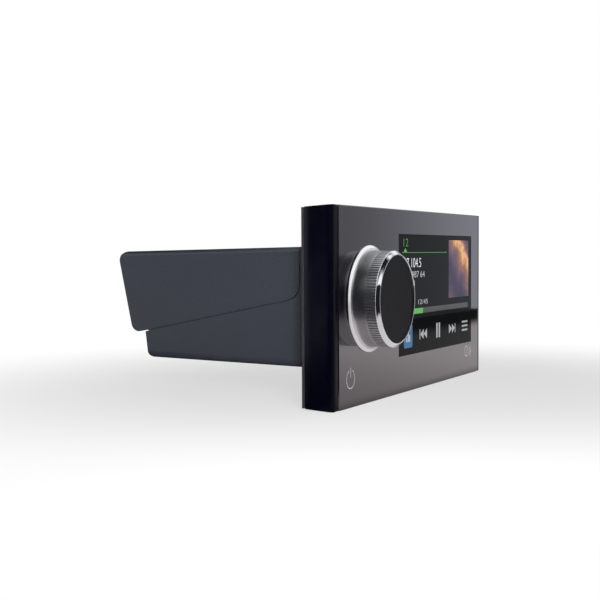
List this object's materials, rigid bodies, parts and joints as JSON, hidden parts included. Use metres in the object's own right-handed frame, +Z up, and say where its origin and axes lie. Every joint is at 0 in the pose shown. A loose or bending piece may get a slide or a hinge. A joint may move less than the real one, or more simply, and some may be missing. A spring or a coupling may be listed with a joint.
{
  "type": "marine stereo",
  "caption": "Flush-mount marine stereo: glass touch front with display, turn-and-press dial, metal chassis behind the dash panel with rear sockets.",
  "frame": {"origin": "centre of the four mounting screws, in the rear face of the gasket where it meets the dash panel", "axes": "+X to the right as the user sees the front, +Y rearwards into the dash, +Z up"},
  "size_m": [0.177, 0.1264, 0.082],
  "materials": {
    "black_glass": "black-backed glass, polished",
    "bond_foam": "black foam adhesive",
    "frame_plastic": "fine moulded grain",
    "gasket_foam": "closed-cell foam",
    "cover_gloss": "satin black",
    "sensor_film": "clear",
    "panel_glass": "dark polariser",
    "steel_sheet": "zinc-plated",
    "guide_acrylic": "milky acrylic",
    "circuit_board": "green solder mask",
    "polished_metal": "polished",
    "knob_metal": "satin turned, polished bevel",
    "cap_black": "matte black",
    "shaft_steel": "ground",
    "bush_brass": "nickel flash over brass",
    "encoder_plastic": "moulded",
    "rotor_plastic": "moulded",
    "screw_steel": "zinc-plated",
    "ribbon_white": "flat flex cable",
    "chassis_cast": "fine-textured charcoal",
    "cover_sheet": "fine-textured charcoal",
    "heatsink_black": "black anodised",
    "chip_black": "moulded",
    "capacitor_sleeve": "shrink sleeve",
    "tin_can": "tinned",
    "socket_plastic": "moulded",
    "pin_tin": "tinned",
    "fuse_plastic": "tinted"
  },
  "bodies": {
    "unit": {"amplifier_chips": "chip_black", "amplifier_clamp": "steel_sheet", "antenna_socket": "tin_can", "backlight_tray": "steel_sheet", "blade_fuse": "fuse_plastic", "board_link": "socket_plastic", "chassis_lower": "chassis_cast", "clamp_screws": "screw_steel", "cover_glass": "black_glass", "cover_screws": "screw_steel", "data_socket": "socket_plastic", "display_board": "circuit_board", "display_board_screws": "screw_steel", "display_retainer": "steel_sheet", "encoder_board": "circuit_board", "encoder_board_screws": "screw_steel", "encoder_bush": "bush_brass", "encoder_housing": "encoder_plastic", "encoder_nut": "bush_brass", "encoder_washer": "screw_steel", "filter_coils": "chip_black", "frame_screws": "screw_steel", "front_frame": "frame_plastic", "fuse_holder": "socket_plastic", "glass_bond": "bond_foam", "heatsink": "heatsink_black", "knob_trim_ring": "polished_metal", "lcd_panel": "panel_glass", "light_guide": "guide_acrylic", "line_pins": "pin_tin", "line_socket": "socket_plastic", "main_board": "circuit_board", "main_board_screws": "screw_steel", "media_board": "circuit_board", "media_board_posts": "bush_brass", "media_board_screws": "screw_steel", "mounting_gasket": "gasket_foam", "network_contacts": "pin_tin", "network_socket": "tin_can", "optical_socket": "socket_plastic", "power_capacitors": "capacitor_sleeve", "power_pins": "pin_tin", "power_socket": "socket_plastic", "press_dome": "shaft_steel", "rear_panel": "steel_sheet", "rear_panel_screws": "screw_steel", "retainer_screws": "screw_steel", "ribbon_cable": "ribbon_white", "signal_processor": "chip_black", "top_cover": "cover_sheet", "touch_sensor": "sensor_film", "tuner_module": "tin_can", "usb_socket": "tin_can", "wireless_module": "tin_can"},
    "dial_rotor": {"encoder_rotor": "rotor_plastic"},
    "dial": {"knob_body": "knob_metal", "knob_cap": "cap_black", "encoder_shaft": "shaft_steel"},
    "cover_left": {"side_cover_left": "cover_gloss"},
    "cover_right": {"side_cover_right": "cover_gloss"}
  },
  "joints": [
    {"name": "dial_turn", "type": "hinge", "parent": "unit", "child": "dial_rotor", "pos_m": [-0.05444, -0.0082, 0.00265], "axis": [0, 1, 0], "continuous": true},
    {"name": "dial_press", "type": "slide", "parent": "dial_rotor", "child": "dial", "axis": [0, 1, 0], "range_m": [0, 0.0005], "stiffness_N_per_m": 4000, "springref_m": -0.0003},
    {"name": "side_cover_left_slide", "type": "slide", "parent": "unit", "child": "cover_left", "axis": [-1, 0, 0], "range_m": [0, 0.012]},
    {"name": "side_cover_right_slide", "type": "slide", "parent": "unit", "child": "cover_right", "axis": [1, 0, 0], "range_m": [0, 0.012]}
  ]
}
